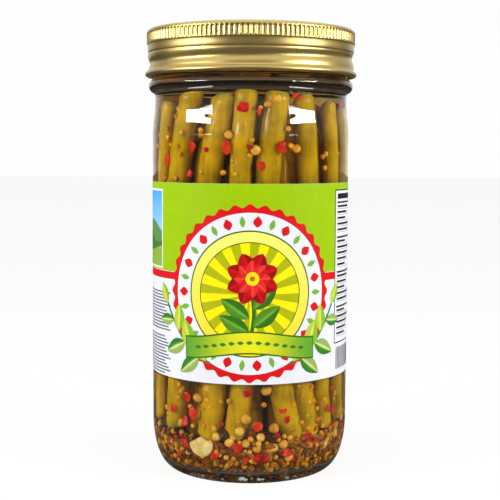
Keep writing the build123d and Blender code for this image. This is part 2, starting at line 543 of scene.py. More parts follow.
def wrapped(u, v, layer):
    """Wraps flat print round the jar: u along the label from its middle, v up from its lower edge."""
    radius = PAPER_R + INK * layer
    return round_jar(u / PRINT_R, radius, LABEL_LOW + v)


def print_patch(u, v, colour, layer):
    """A patch of ink over grids u and v, with one colour or a colour for each grid point."""
    rows, columns = u.shape
    points = wrapped(u, v, layer).reshape(-1, 3)
    colours = np.broadcast_to(np.asarray(colour, float), (rows, columns, 3)).reshape(-1, 3)
    quads = grid_faces(rows, columns, False)
    a, b, c = (points[quads[0, i]] for i in range(3))
    if np.dot(np.cross(b - a, c - b), a * (1, 1, 0)) < 0:
        quads = quads[:, ::-1]
    return (points, quads, np.zeros((0, 3), int)), colours


def oblong(u0, u1, v0, v1, colour, layer, colour_top=None):
    """A rectangle of ink; with colour_top, it shades from colour at the bottom to that at the top."""
    steps = max(2, math.ceil(abs(u1 - u0) / PRINT_CELL) + 1)
    u, v = np.meshgrid(np.linspace(u0, u1, steps), np.linspace(v0, v1, 4))
    t = ((v - v0) / (v1 - v0))[..., None]
    shade = np.asarray(colour) * (1 - t) + np.asarray(colour if colour_top is None else colour_top) * t
    return print_patch(u, v, shade, layer)


def ring(centre, inner, outer, colour, layer, start=0, end=360, wave=0, lobes=0, colour_top=None):
    """A ring or sector of ink; its outer edge may swell in lobes: r = outer (1 + wave cos lobes a)."""
    steps = max(4, math.ceil(math.radians(abs(end - start)) * outer / PRINT_CELL) + 1, 8 * lobes + 1)
    rows = max(2, math.ceil((outer - inner) / PRINT_CELL) + 1)
    a, t = np.meshgrid(np.radians(np.linspace(start, end, steps)), np.linspace(0, 1, rows))
    radius = inner + (outer * (1 + wave * np.cos(lobes * a)) - inner) * t
    u = centre[0] + radius * np.cos(a)
    v = centre[1] + radius * np.sin(a)
    if colour_top is None:
        return print_patch(u, v, colour, layer)
    mix = ((v - centre[1]) / (2 * outer) + 0.5)[..., None]
    return print_patch(u, v, np.asarray(colour) * (1 - mix) + np.asarray(colour_top) * mix, layer)


def leaf(base, length, width, direction, edge, middle, layer, fullness=0.8):
    """A leaf of ink from its base: half width = width/2 sin(pi t)^fullness, paler along its vein."""
    t, s = np.meshgrid(np.linspace(0, 1, max(9, math.ceil(length / PRINT_CELL) + 3)), np.linspace(-1, 1, 9))
    half = width / 2 * np.sin(np.pi * t) ** fullness * (1.15 - 0.35 * t)
    a = math.radians(direction)
    u = base[0] + length * t * math.cos(a) - half * s * math.sin(a)
    v = base[1] + length * t * math.sin(a) + half * s * math.cos(a)
    vein = np.exp(-((s / 0.16) ** 2))[..., None] + 0.35 * (s > 0)[..., None]
    vein = np.clip(vein, 0, 1)
    return print_patch(u, v, np.asarray(edge) * (1 - vein) + np.asarray(middle) * vein, layer)


def stroke(points, width, colour, layer):
    """A line of ink of one width along points (n, 2)."""
    points = np.asarray(points, float)
    run = np.gradient(points, axis=0)
    side = np.stack([-run[:, 1], run[:, 0]], -1) / np.linalg.norm(run, axis=1, keepdims=True)
    edges = np.stack([points - side * width / 2, points + side * width / 2])
    return print_patch(edges[..., 0], edges[..., 1], colour, layer)


def badge(colours):
    """The round badge: a ringed disc of sun rays, a ring of diamonds and a red flower on its stem."""
    across, up = BADGE_CENTRE
    white = linear("#DDDFE4")
    yellow = linear("#FAD116")
    dark = linear("#2F6B1C")
    mid = linear("#6FAA31")
    red = colours.red
    patches = [
        ring(BADGE_CENTRE, 0, BADGE_R, red, 3, wave=0.022, lobes=36),
        ring(BADGE_CENTRE, 0, BADGE_R - 2.6, white, 4),
        ring(BADGE_CENTRE, DISC_R - 0.2, 24.3, yellow, 5, colour_top=linear("#FBE66F")),
        ring(BADGE_CENTRE, 0, DISC_R, linear("#A6AC0A"), 5),
        ring(BADGE_CENTRE, 24.2, 24.8, dark, 6),
        ring(BADGE_CENTRE, DISC_R - 0.3, DISC_R + 0.1, dark, 7),
    ]
    for k in range(SUN_RAYS):
        start = 360 * k / SUN_RAYS
        sector = (start, start + 180 / SUN_RAYS)
        patches.append(ring(BADGE_CENTRE, 0.4, DISC_R - 0.2, linear("#FCDF05"), 6, *sector))
    for k in range(DIAMONDS):
        a = TAU * k / DIAMONDS
        foot = (across + 25.9 * math.cos(a), up + 25.9 * math.sin(a))
        width, shade = (3.6, red) if k % 2 else (2.2, mid)
        patches.append(leaf(foot, 4.6, width, math.degrees(a), shade, shade, 6, 1.0))
    t = np.linspace(0, 1, 26)
    stem = np.stack([1.6 * np.sin(t * 3.0), up - 18.5 + 21 * t], -1)
    patches.append(stroke(stem, 1.5, dark, 8))
    for side, low, turn in ((1, 22.5, 38), (-1, 26.0, 146), (1, 29.5, 46), (-1, 20.5, 152)):
        patches.append(leaf((0.8 * side + 0.6, low), 13.5, 6.4, turn, dark, mid, 9))
    bloom = (1.0, up + 6.0)
    for k in range(8):
        patches.append(leaf(bloom, 10.6, 7.6, 45 * k + 22.5, linear("#8E0A10"), red, 10, 0.6))
    for k in range(8):
        patches.append(leaf(bloom, 7.4, 4.6, 45 * k, red, linear("#E84A3C"), 11, 0.6))
    patches.append(ring(bloom, 0, 2.7, yellow, 12))
    patches.append(ring(bloom, 0, 1.1, linear("#B96A12"), 13))
    return patches


def sprig_line(side, t):
    """A sprig's stem, to the right for side 1 and to the left for -1: it climbs faster as it goes out."""
    return side * (16 + 22 * t), 8 + 6 * t + 16 * t**2


def sprigs():
    """A leaf sprig at each of the badge's lower corners."""
    dark_leaf = (linear("#2E7A22"), linear("#D9E08A"))
    bright_leaf = (linear("#7DB336"), linear("#E9D84A"))
    patches = []
    for side in (-1, 1):
        stem = np.stack(sprig_line(side, np.linspace(0, 1, 32)), -1)
        patches.append(stroke(stem, 0.9, dark_leaf[0], 8))
        for k, (where, length, turn) in enumerate((
            (0.08, 10.5, 60), (0.22, 11.5, -38), (0.38, 12.5, 74), (0.52, 12.0, -24),
            (0.68, 11.0, 92), (0.82, 9.5, -4), (1.0, 9.0, 62),
        )):
            direction = turn if side > 0 else 180 - turn
            edge, vein = dark_leaf if k % 2 else bright_leaf
            foot = sprig_line(side, where)
            patches.append(leaf(foot, length, length * 0.52, direction, edge, vein, 9 + k % 3))
    return patches


def banner():
    """A plain banner, gently arched and paler at its middle, with a row of dots along it."""
    dot = linear("#2E7A22")
    u, s = np.meshgrid(np.linspace(-BANNER_HALF, BANNER_HALF, 56), np.linspace(0, 1, 5))
    arch = np.cos(u / BANNER_HALF * math.pi)
    low = BANNER_LOW + 1.4 * arch
    tone = (0.5 + 0.5 * arch)[..., None]
    shade = np.asarray(linear("#5E9E28")) * (1 - tone) + np.asarray(linear("#DCD81C")) * tone
    patches = [
        print_patch(u, low + BANNER_HEIGHT * s, linear("#2F6B1C"), 14),
        print_patch(u * 0.985, low + 0.6 + (BANNER_HEIGHT - 1.2) * s, shade, 15),
    ]
    for k in range(13):
        middle = (k - 6) * 3.5
        height = BANNER_LOW + 1.4 * math.cos(middle / BANNER_HALF * math.pi) + BANNER_HEIGHT / 2
        patches.append(leaf((middle - 1.35, height), 2.7, 1.5, 0, dot, dot, 16, 1.0))
    return patches


def inset(panel, margin):
    """A panel moved in by a margin on every side."""
    left, right, low, high = panel
    return left + margin, right - margin, low + margin, high - margin


def bars_panel():
    """A panel of bars in a black outline, with plain upright stripes under it."""
    black = linear("#1B1C1F")
    white = linear("#DDDFE4")
    left = BARS_PANEL[0] + 1.7
    right = BARS_PANEL[1] - 1.7
    patches = [oblong(*BARS_PANEL, black, 3), oblong(*inset(BARS_PANEL, 0.5), white, 4)]
    for k in range(24):
        v = 16.0 + k * 2.35
        heavy = k % 6 == 5
        patches.append(oblong(left, right, v, v + (0.75 if heavy else 0.14), black, 5))
        if not heavy:
            reach = 9.0 + 7.0 * ((k * 5) % 4) / 3
            patches.append(oblong(left + 0.3, left + 0.3 + reach, v + 0.7, v + 1.55, black, 5))
            patches.append(oblong(right - 3.8, right - 0.3, v + 0.7, v + 1.55, black, 5))
    patches.append(oblong(left + 0.3, left + 20.0, 71.8, 74.0, black, 5))
    for k in range(17):
        stripe = left + 1.3 * k
        patches.append(oblong(stripe, stripe + 0.65, 2.6, 11.6, black, 3))
    return patches


def view_panel():
    """A plain landscape in a white frame: a sky, and hills whose tops are sines; small bars under it."""
    grey = linear("#6C6F75")
    inner = inset(VIEW_PANEL, 0.8)
    patches = [
        oblong(*VIEW_PANEL, linear("#DDDFE4"), 3),
        oblong(*inner, linear("#B9DDF4"), 4, linear("#3FA2E6")),
    ]
    u = np.linspace(inner[0], inner[1], 40)
    for crest, swell, phase, shade, layer in (
        (60.5, 2.6, 0.4, "#5C8A4A", 5), (56.0, 2.0, 2.1, "#3F7330", 6), (51.5, 1.2, 4.0, "#86A83A", 7),
    ):
        top = crest + swell * np.sin(u * 0.21 + phase)
        v = np.linspace(0, 1, 5)[:, None] * (top - inner[2]) + inner[2]
        patches.append(print_patch(np.broadcast_to(u, v.shape), v, linear(shade), layer))
    for k in range(26):
        v = 33.6 - 1.25 * k - (1.6 if k > 12 else 0)
        left = -66.2 - 6.5 * (((k * 7) % 5) / 4) if k % 13 == 12 else -76.0
        right = -36.4 - 1.4 * ((k * 3) % 4)
        patches.append(oblong(left, right, v, v + SMALL_BAR_HEIGHT, grey, 3))
    return patches


def label_print(colours):
    """All the ink on the label: (shape, colours of its points)."""
    patches = [
        oblong(-LABEL_HALF, LABEL_HALF, FIELD_LOW, LABEL_SPAN - 0.05, colours.lime, 1),
        oblong(-LABEL_HALF, LABEL_HALF, *BAND_EDGES, colours.red, 1),
    ]
    patches += badge(colours) + sprigs() + banner() + bars_panel() + view_panel()
    shape = joined([p[0] for p in patches])
    return shape, np.vstack([p[1] for p in patches])


def paper_shape():
    """The label's paper: a thin oblong section carried round the jar, with its two ends closed."""
    angle = np.linspace(-LABEL_HALF, LABEL_HALF, 260) / PRINT_R
    section = np.array([
        (PAPER_INNER_R, LABEL_LOW), (PAPER_R, LABEL_LOW), (PAPER_R, LABEL_HIGH), (PAPER_INNER_R, LABEL_HIGH),
    ])
    return closed_tube(round_jar(angle[:, None], section[None, :, 0], section[None, :, 1]))


# --- Bean pods ---------------------------------------------------------------

POD_ROWS = 74
POD_SIDES = 20
EASED_ROWS = 17
WALL_GAP = 0.55

# Rings of pods behind the outer one: distance in from it, number of pods, and turn.
INNER_PODS = ((8.8, 17, 6), (17.4, 11, 0), (26.0, 5, 20))

# Each pod that leans on the front of the glass: its angle round the jar in degrees at
# its head, at the label's upper edge, at the label's lower edge and at its foot; the
# heights of head and foot; its radius; and the turn of its seam.
FRONT_PODS = (
    (-64, -70, -75, -74, 152.5, 22, 4.2, 30),
    (-42, -55, -53, -57, 156.5, 20, 4.6, 160),
    (-17, -30, -22, -28, 154.5, 18, 4.7, 130),
    (-2.5, -7, -3.5, -10, 158.0, 19, 4.5, 250),
    (18.5, 9.5, 19, 32, 156.5, 11.5, 4.5, 200),
    (37, 42, 34.5, 44, 154.5, 18, 4.8, 90),
    (60, 63, 51, 57, 152.0, 21, 4.1, 300),
    (80, 83, 70, 74, 150.0, 22, 3.9, 10),
)


def eased_track(stations, values, heights):
    """Values at heights: straight runs between stations, rounded by a running mean."""
    track = np.interp(heights, stations, values)
    padded = np.pad(track, EASED_ROWS // 2, mode="reflect", reflect_type="odd")
    return np.convolve(padded, np.ones(EASED_ROWS) / EASED_ROWS, mode="valid")


def pod(centre, radius, turn, seed_gap, cuts, tilt, point_out):
    """A pod round a centre line (n, 3), and its attributes.

    The section is a slightly flattened circle with a groove along each seam. It
    swells a little over each seed, and the ends are cut square or at a slant with a
    rounded edge, or run out to a point.
    """
    rows = len(centre)
    run = np.gradient(centre, axis=0)
    length = np.concatenate([[0], np.cumsum(np.linalg.norm(np.diff(centre, axis=0), axis=1))])
    run /= np.linalg.norm(run, axis=1, keepdims=True)
    side = np.cross(run, (0, 1, 0))
    side /= np.linalg.norm(side, axis=1, keepdims=True)
    other = np.cross(run, side)
    angle = np.linspace(0, TAU, POD_SIDES, endpoint=False)[None, :]
    local = angle - math.radians(turn)
    swell = np.cos(length / seed_gap * TAU)[:, None] * np.abs(np.cos(local)) ** 1.5
    section = 1 + 0.055 * np.cos(2 * local) + 0.028 * swell
    for seam, depth in ((math.pi / 2, 0.13), (3 * math.pi / 2, 0.06)):
        gap = np.abs(np.mod(local - seam + math.pi, TAU) - math.pi)
        section -= depth * np.exp(-((gap / 0.24) ** 2))
    from_end = np.minimum(length, length[-1] - length)[:, None] / radius
    edge = np.sqrt(np.clip(1 - (1 - np.clip(from_end / 0.35, 0, 1)) ** 2, 0.0, 1)) * 0.3 + 0.7
    size = radius * section * edge
    if point_out:
        size *= np.clip((length[-1] - length)[:, None] / (radius * 5.5), 0.02, 1) ** 0.55
    t = (length / length[-1])[:, None]
    slant = tilt[1] * smoothstep(0.9, 1, t) + tilt[0] * (1 - smoothstep(0, 0.1, t))
    rings = (
        centre[:, None]
        + side[:, None] * (size * np.cos(angle))[..., None]
        + other[:, None] * (size * np.sin(angle))[..., None]
        + run[:, None] * (slant * radius * np.cos(angle + 0.6))[..., None]
    )
    shape = closed_tube(rings)
    ends = 1 - smoothstep(0.0, 0.12, from_end)
    if point_out:
        ends = ends * (t < 0.5)
    cut = np.concatenate([np.broadcast_to(ends, (rows, POD_SIDES)).ravel(), cuts])
    around = np.broadcast_to(np.mod(local, TAU) / TAU, (rows, POD_SIDES)).ravel()
    along = np.broadcast_to(length[:, None], (rows, POD_SIDES)).ravel()
    return shape, cut, np.append(around, (0, 0)), np.append(along, (0, length[-1]))


def pods(sizes, jar):
    """Every pod in the jar: those listed one by one at the front, then rings of pods round and behind them.
    """
    rng = np.random.default_rng(11)
    wall_r = BODY_R - jar.wall / MM
    placed = []

    def plant(stations, angles, depth, radius, turn, slant, pointed=False, tone=None):
        heights = np.linspace(stations[0], stations[-1], POD_ROWS)
        track = eased_track(stations, np.radians(angles), heights)
        t = np.linspace(0, 1, POD_ROWS)
        bow = 0.5 * np.sin(t * math.pi * rng.uniform(2, 3.4) + rng.uniform(0, TAU))
        away = wall_r - WALL_GAP - radius - depth - np.abs(bow)
        away -= 0.5 * smoothstep(SHOULDER_Z, NECK_Z, heights)
        inner = wall_r - INNER_HEEL
        rise = np.clip((heights - jar.floor / MM) / INNER_HEEL, 0.02, 1)
        curve = inner + INNER_HEEL * np.sqrt(1 - (1 - rise) ** 2)
        away = np.minimum(away, curve - radius - WALL_GAP - depth * 0.8)
        centre = round_jar(track, away, heights)
        shape, cut, around, along = pod(
            centre, radius, turn, rng.uniform(11, 15), (1, 0 if pointed else 1), slant, pointed)
        shade = rng.uniform(-1, 1) if tone is None else tone
        placed.append((shape, cut, around, along, np.full(len(shape[0]), shade)))

    middle = (LABEL_LOW, LABEL_HIGH)
    for head, upper, lower, foot, top, low, radius, turn in FRONT_PODS:
        plant((low, *middle, top), (foot, lower, upper, head), 0, radius, turn,
              (rng.uniform(-0.3, 0.3), rng.uniform(-0.45, 0.45)))
    plant((16, 60, 138), (24, 30, 27), 7.5, 4.4, 40, (0.2, 0), pointed=True, tone=0.3)
    for gap in np.linspace(95, 268, 13):
        lean = rng.normal(0, 4, 4)
        plant((rng.uniform(17, 22), *middle, rng.uniform(148, 157)), gap + lean, 0,
              sizes.pod_radius / MM * rng.uniform(0.88, 1.08), rng.uniform(0, 360),
              tuple(rng.uniform(-0.4, 0.4, 2)), pointed=rng.random() < 0.15)
    for depth, number, shift in INNER_PODS:
        for k in range(number):
            gap = 360 * k / number + shift + rng.normal(0, 2.0)
            lean = rng.normal(0, 5, 4)
            plant((rng.uniform(15, 24), *middle, rng.uniform(132, 156)), gap + lean, depth,
                  sizes.pod_radius / MM * rng.uniform(0.85, 1.05), rng.uniform(0, 360),
                  tuple(rng.uniform(-0.4, 0.4, 2)), pointed=rng.random() < 0.25)
    shape = joined([p[0] for p in placed])
    keys = ("cut_end", "around", "along", "tone")
    return shape, {key: np.concatenate([p[i + 1] for p in placed]) for i, key in enumerate(keys)}


# --- Spices ------------------------------------------------------------------

# Spices listed one by one at the front of the glass: angle in degrees, height, then the
# width and height of a flake.
FRONT_FLAKES = (
    (-4, 149.5, 5.1, 4.7), (18, 134.2, 4.9, 5.1), (-36, 134.2, 3.4, 5.5), (-27, 133.1, 2.2, 2.4),
    (-14, 133.8, 3.7, 6.3), (-58, 129.1, 3.4, 6.3), (-38, 123.9, 2.8, 3.9), (5, 147.6, 1.7, 2.7),
    (30, 153.0, 2.4, 1.4), (-40, 34.7, 4.2, 4.7), (-52, 28.6, 3.4, 3.6), (-35, 28.3, 4.5, 5.5),
    (-41, 24.9, 3.4, 4.7), (-1, 37.9, 3.9, 3.5), (5, 24.8, 4.8, 4.3), (-7, 16.2, 4.4, 4.7),
    (-21, 12.3, 4.8, 2.6), (7, 11.3, 6.2, 4.2), (23, 13.6, 4.1, 4.0), (37, 18.8, 4.4, 4.7),
    (17, 20.8, 2.6, 3.1), (54, 28.8, 3.4, 3.9), (61, 27.5, 3.2, 3.9), (-42, 15.7, 3.6, 4.3),
)
FRONT_MUSTARD = (
    (-45, 139.8), (-55, 135.1), (-16, 124.2), (-30, 124.5), (28, 133.6), (48, 130.5), (50, 126.1),
    (65, 131.9), (-61, 121.6), (-50, 146.1), (-29, 143.9), (-38, 30.9), (-24, 31.9), (-12, 34.5),
    (-36, 23.2), (-53, 19.2), (-45, 19.7), (-22, 7.8), (-3, 7.5), (11, 8.4), (25, 8.2), (-14, 11.5),
    (40, 38.9), (42, 33.2), (45, 29.6), (45, 24.9), (33, 25.1),
)
FRONT_CORIANDER = (
    (-13, 138.8), (3, 133.0), (16, 152.8), (-33, 34.7), (-46, 23.4), (-20, 19.8), (-6, 22.6),
    (-12, 17.9), (-2, 17.7), (7, 20.1), (15, 15.9), (21, 16.9), (25, 10.7), (-2, 27.5), (15, 23.6),
)
FRONT_PEPPERCORNS = ((-15, 20.6), (14, 19.9), (-63, 21.4), (118, 19.5), (171, 20.2), (-140, 19.0))
GARLIC = ((-30, 16.6, 10.6, 5.4), (152, 17.5, 9.0, 5.0))

# How many more lie on top of the bed, and on the glass in front of the pods.
ON_BED = {"coriander": 40, "flakes": 60, "mustard": 130, "dill": 150, "herbs": 90}
ON_PODS = {"coriander": 14, "flakes": 46, "mustard": 170, "herbs": 210}
MUSTARD_BEHIND = 30
HERBS_IN_BED = 300

# Width of the ball that each of these takes up while the jar is packed.
FLAKE_ROOM = 2.6
DILL_ROOM = 1.9
HERB_ROOM = 1.0

# Loose flakes have this many outlines in each of their three places.
FLAKE_OUTLINES = 8


def wall_point(angle, along, inset, jar):
    """A point inside the glass, inset from it, at a distance along the wall's section.

    The distance is 0 where the floor meets the quarter round, negative towards the
    axis, and carries on up the quarter round and the straight wall.
    """
    floor = jar.floor / MM
    foot = BODY_R - jar.wall / MM - INNER_HEEL
    quarter = INNER_HEEL * math.pi / 2
    turn = np.clip(along / quarter, 0, 1) * math.pi / 2
    radius = foot + np.minimum(along, 0) + (INNER_HEEL - inset) * np.sin(turn)
    height = floor + INNER_HEEL - (INNER_HEEL - inset) * np.cos(turn) + np.maximum(along - quarter, 0)
    return round_jar(angle, radius, height)


def bed_top(angle, radius, depth):
    """Height of the spices: the bed's depth with low swells round and across the jar."""
    swell = 1.3 * np.sin(2 * angle + 0.6) + 0.8 * np.sin(5 * angle + 1.7)
    return depth + swell + 0.7 * np.sin(radius * 0.35 + angle)


class Packer:
    """Finds room for loose things, each a ball of its own radius, so that they don't lie in each other."""

    def __init__(self, room):
        self.centres = np.zeros((room, 3))
        self.radii = np.zeros(room)
        self.count = 0

    def fits(self, centre, radius, overlap=0.25):
        """Takes the place and says True if no earlier ball is deeper than overlap into this one."""
        gaps = np.linalg.norm(self.centres[: self.count] - centre, axis=1)
        if np.any(gaps < (self.radii[: self.count] + radius) * (1 - overlap)):
            return False
        self.centres[self.count] = centre
        self.radii[self.count] = radius
        self.count += 1
        return True

    def fill(self, candidates, radius, number, overlap=0.25):
        """The first number of the candidates that fit."""
        kept = []
        for centre in candidates:
            if len(kept) >= number or self.count >= len(self.radii):
                break
            if self.fits(centre, radius, overlap):
                kept.append(centre)
        return np.array(kept).reshape(-1, 3)


def sphere(rows, columns):
    """Points of a ball of radius 1 as rings round X, without its two poles."""
    polar = np.linspace(0, math.pi, rows + 2)[1:-1, None]
    angle = np.linspace(0, TAU, columns, endpoint=False)[None, :]
    return np.stack(np.broadcast_arrays(
        np.cos(polar), np.sin(polar) * np.cos(angle), np.sin(polar) * np.sin(angle)), -1)


def coriander_ball():
    """A ball with ten soft ribs from pole to pole and a small point at one end."""
    rings = sphere(9, 20)
    angle = np.arctan2(rings[..., 2], rings[..., 1])
    rings = rings * (1 + 0.035 * np.cos(10 * angle))[..., None]
    rings[0] *= 1.1
    return closed_tube(rings)


def peppercorn_ball():
    """A ball with a net of wrinkles, from products of sines over its surface."""
    rings = sphere(22, 34)
    x, y, z = (rings[..., i] for i in range(3))
    net = np.abs(np.sin(6.2 * x + 2 * y) * np.sin(5.5 * y + 3 * z) + np.sin(6 * z - 2.5 * x) * 0.6)
    return closed_tube(rings * (0.9 + 0.13 * np.sqrt(net))[..., None])


def flake_plate(rng, corners):
    """A torn plate about 1 wide: an uneven many-sided outline, domed, with a thin edge."""
    angle = np.linspace(0, TAU, corners, endpoint=False) + rng.uniform(-0.25, 0.25, corners)
    reach = rng.uniform(0.72, 1.1, corners)
    scale = np.array([0.35, 0.72, 0.97, 1.0, 0.97, 0.72, 0.35])[:, None]
    lift = np.array([0.06, 0.05, 0.035, 0.0, -0.035, -0.04, -0.03])[:, None]
    x = 0.5 * scale * reach * np.cos(angle)
    y = 0.5 * scale * reach * np.sin(angle)
    dome = -0.28 * x**2 + 0.22 * y**2 * rng.uniform(-1, 1) + 0.1 * rng.uniform(-1, 1) * x * y * 4
    return closed_tube(np.stack([x, y, lift + dome], -1))


def dill_seed():
    """A flat oval seed with ribs along it and a pale rim: r = sqrt(1 - x^2), squashed."""
    rings = sphere(7, 12)
    angle = np.arctan2(rings[..., 2], rings[..., 1])
    rings[..., 2] *= 0.42 * (1 + 0.3 * np.cos(5 * angle))
    rings[..., 1] *= 0.55
    return closed_tube(rings)


def herb_curl():
    """A bit of dried dill: a thin stalk bent into part of a ring."""
    t = np.linspace(0, 1, 9)
    centre = np.stack([np.cos(2.4 * t) - 0.5, np.sin(2.4 * t) - 0.5, 0.5 * t * (1 - t)], -1)
    angle = np.linspace(0, TAU, 4, endpoint=False)
    spread = np.stack([np.cos(angle), np.sin(angle) * 0.3, np.sin(angle)], -1)
    size = 0.11 * (1.1 - t)[:, None, None]
    return closed_tube(centre[:, None] + spread[None] * size)


def garlic_slice():
    """A slice of a clove: a half-moon plate with a rounded edge and a small sprout at its middle."""
    angle = np.linspace(0, TAU, 40, endpoint=False)
    x = np.cos(angle)
    y = np.where(np.sin(angle) < 0, np.sin(angle), 0.34 * np.abs(np.sin(angle)) ** 1.6)
    y = y + 0.16 * np.exp(-(((angle - TAU / 4) / 0.3) ** 2))
    layers = np.array([
        (0.4, 0.13), (0.8, 0.125), (0.95, 0.09), (1.0, 0.0), (0.95, -0.09), (0.8, -0.12), (0.4, -0.13),
    ])
    rings = np.stack([
        layers[:, :1] * x,
        layers[:, :1] * (y + 0.3) - 0.3,
        layers[:, 1:] + 0.08 * x**2 * np.ones((len(layers), 1)),
    ], -1)
    return closed_tube(rings)


def turned(rng, number):
    """Random turns as matrices, from unit quaternions."""
    q = rng.normal(size=(number, 4))
    w, x, y, z = (q / np.linalg.norm(q, axis=1, keepdims=True)).T
    return np.stack([
        np.stack([1 - 2 * (y * y + z * z), 2 * (x * y - z * w), 2 * (x * z + y * w)], -1),
        np.stack([2 * (x * y + z * w), 1 - 2 * (x * x + z * z), 2 * (y * z - x * w)], -1),
        np.stack([2 * (x * z - y * w), 2 * (y * z + x * w), 1 - 2 * (x * x + y * y)], -1),
    ], 1)


def facing(rng, places, spin, lean):
    """Turns that lay a thing's Z along the way out of the jar, spun by spin and leaning by about lean."""
    out = places * (1, 1, 0)
    out = out / np.linalg.norm(out, axis=1, keepdims=True) + rng.normal(0, lean, places.shape)
    out /= np.linalg.norm(out, axis=1, keepdims=True)
    across = np.cross((0, 0, 1), out)
    across /= np.linalg.norm(across, axis=1, keepdims=True)
    up = np.cross(out, across)
    c = np.cos(spin)[:, None]
    s = np.sin(spin)[:, None]
    return np.stack([across * c + up * s, up * c - across * s, out], -1)


def copies(template, places, turns, scales, tones):
    """One shape from a template set at places, turned and scaled, with each copy's tone."""
    points, quads, tris = template
    number = len(places)
    moved = np.einsum("nij,npj->npi", turns, points[None] * scales[:, None, :]) + places[:, None]
    step = (np.arange(number) * len(points))[:, None, None]
    shape = (moved.reshape(-1, 3), (quads[None] + step).reshape(-1, 4), (tris[None] + step).reshape(-1, 3))
    return shape, np.repeat(tones, len(points))


def ripple(points, waves, length, seed):
    """A smooth random height at each point, -1 to 1: a sum of cosines that run all ways."""
    rng = np.random.default_rng(seed)
    ways = rng.normal(size=(waves, 3))
    ways /= np.linalg.norm(ways, axis=1, keepdims=True)
    ways *= TAU / (length * rng.uniform(0.7, 1.4, (waves, 1)))
    heights = np.cos(points @ ways.T + rng.uniform(0, TAU, waves))
    return heights.sum(-1) / math.sqrt(waves)


def bed_shape(depth, jar):
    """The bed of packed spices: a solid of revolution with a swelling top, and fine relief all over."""
    angle = np.linspace(0, TAU, 260, endpoint=False)[None, :]
    quarter = INNER_HEEL * math.pi / 2
    wall_top = quarter + depth - jar.floor / MM - INNER_HEEL - 1.5
    under = wall_point(angle, np.linspace(-24, 0, 14)[:, None], 1.3, jar)
    side = wall_point(angle, np.linspace(0, wall_top, 40)[:, None], 1.3, jar)
    reach = np.linspace(BODY_R - jar.wall / MM - 1.8, 1.5, 34)[:, None]
    top = round_jar(angle, reach, bed_top(angle, reach, depth - 1.4))
    rings = np.concatenate([under, side, top])
    relief = ripple(rings.reshape(-1, 3), 40, 2.4, 5).reshape(rings.shape[:2])
    inward = np.stack([rings[..., 0], rings[..., 1], (rings[..., 2] - 11) * 3], -1)
    inward /= np.linalg.norm(inward, axis=-1, keepdims=True)
    return closed_tube(rings - inward * (0.45 + 0.35 * relief)[..., None])


class Spices:
    """Everything loose in the jar, packed so that neighbours lie against each other."""

    def __init__(self, sizes, jar):
        self.rng = np.random.default_rng(23)
        self.packer = Packer(6000)
        self.jar = jar
        self.depth = sizes.bed_depth / MM
        self.quarter = INNER_HEEL * math.pi / 2
        self.straight = jar.floor / MM + INNER_HEEL

    def by_hand(self, spots, size, inset):
        """Places on the glass from listed (angle, height) pairs."""
        spots = np.array(spots, float)
        angle, height = np.radians(spots[:, 0]), spots[:, 1]
        below = np.clip((self.straight - height) / INNER_HEEL, 0, 1)
        along = np.where(height < self.straight, self.quarter - np.arcsin(below) * INNER_HEEL,
                         self.quarter + height - self.straight)
        places = wall_point(angle, along, size / 2 + inset, self.jar)
        for place in places:
            self.packer.fits(place, size / 2, 1.0)
        return places

    def in_bed(self, number, size, spread, overlap=0.25):
        """Places in the bed's outer layers, from the floor up the wall to the bed's top."""
        tries = number * 7
        rng = self.rng
        angle = rng.uniform(0, TAU, tries)
        top = bed_top(angle, BODY_R, self.depth) - self.straight + self.quarter
        along = rng.uniform(-14, top)
        inset = size / 2 + 0.25 + rng.uniform(0, spread, tries) ** 1.5
        return self.packer.fill(wall_point(angle, along, inset, self.jar), size / 2, number, overlap)

    def on_bed(self, number, size, overlap=0.2):
        """Places on top of the bed."""
        tries = number * 6
        rng = self.rng
        angle = rng.uniform(0, TAU, tries)
        radius = (BODY_R - self.jar.wall / MM - size) * np.sqrt(rng.uniform(0.04, 1, tries))
        height = bed_top(angle, radius, self.depth - 1.0) + size * rng.uniform(0.2, 0.6, tries)
        return self.packer.fill(round_jar(angle, radius, height), size / 2, number, overlap)

    def on_pods(self, number, size, low=22, high=156):
        """Places on the glass in front of the pods, more of them low down."""
        tries = number * 4
        rng = self.rng
        angle = rng.uniform(0, TAU, tries)
        height = low + (high - low) * rng.uniform(0, 1, tries) ** 1.7
        along = self.quarter + height - self.straight
        inset = size / 2 + rng.uniform(0.3, 0.9, tries) + 0.5 * smoothstep(SHOULDER_Z, NECK_Z, height)
        return self.packer.fill(wall_point(angle, along, inset, self.jar), size / 2, number)

    def near(self, places, size, number, distance):
        """More places close to those given, further into the jar."""
        rng = self.rng
        picks = places[rng.integers(0, len(places), number * 3)]
        out = picks * (1, 1, 0) / np.linalg.norm(picks * (1, 1, 0), axis=1, keepdims=True)
        picks = picks + rng.normal(0, distance, picks.shape) - out * distance
        return self.packer.fill(picks, size / 2, number)


def grain(spices, template, places, size, uneven, tone_shift=0.0):
    """Round-ish seeds at places: sizes and proportions vary by uneven."""
    rng = spices.rng
    number = len(places)
    scales = size / 2 * rng.normal(1, uneven, (number, 1)) * rng.normal(1, uneven * 0.8, (number, 3))
    tones = np.clip(rng.normal(tone_shift, 0.5, number), -1, 1)
    return copies(template, places, turned(rng, number), scales, tones)


def merged(groups):
    """One shape and its tones from several."""
    return joined([g[0] for g in groups]), np.concatenate([g[1] for g in groups])


